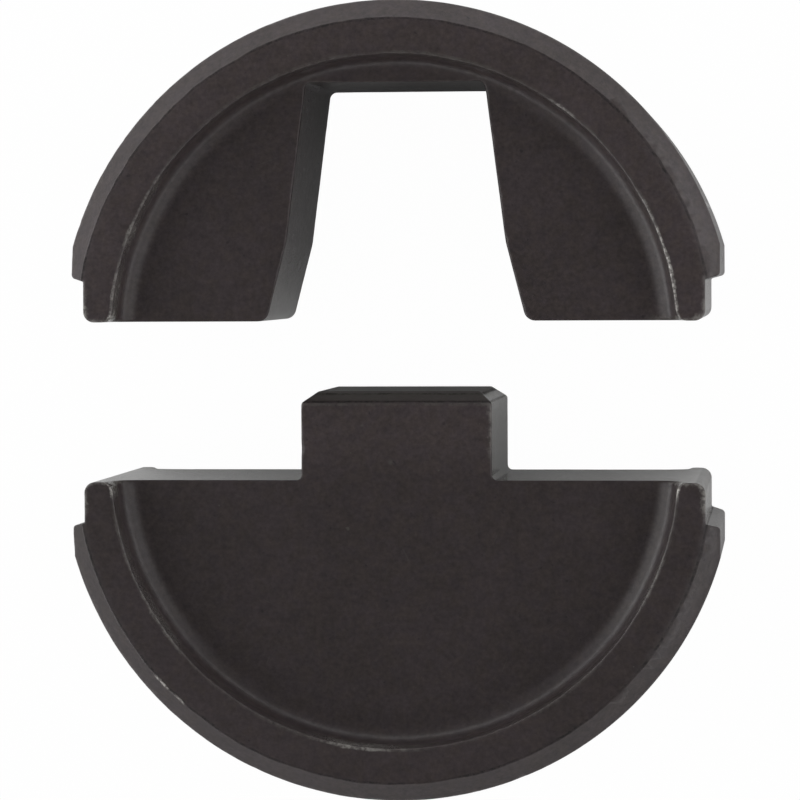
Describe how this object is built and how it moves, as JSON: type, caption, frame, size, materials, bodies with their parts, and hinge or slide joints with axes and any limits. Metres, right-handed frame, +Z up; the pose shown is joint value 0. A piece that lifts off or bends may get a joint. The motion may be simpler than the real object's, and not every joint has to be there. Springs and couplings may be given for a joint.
{
  "type": "crimping die",
  "caption": "Pair of half-round press dies, one with a trapezoid slot and one with a matching punch, for crimping cable lugs onto conductors.",
  "frame": {"origin": "on the surface that both dies lie on, midway between the two parting faces and midway across the dies", "axes": "X across the dies, +Y the closing direction from the lower die towards the upper die, +Z up through the thickness"},
  "size_m": [0.0548, 0.0676, 0.025],
  "materials": {
    "blackened_steel": "hardened tool steel, black oxide finish, oiled, bare and brighter along worn edges"
  },
  "bodies": {
    "upper_half": {"upper_die": "blackened_steel"},
    "lower_half": {"lower_die": "blackened_steel"}
  },
  "joints": [
    {"name": "press_stroke", "type": "slide", "parent": "upper_half", "child": "lower_half", "axis": [0, 1, 0], "range_m": [-0.0115, 0.0135]}
  ]
}
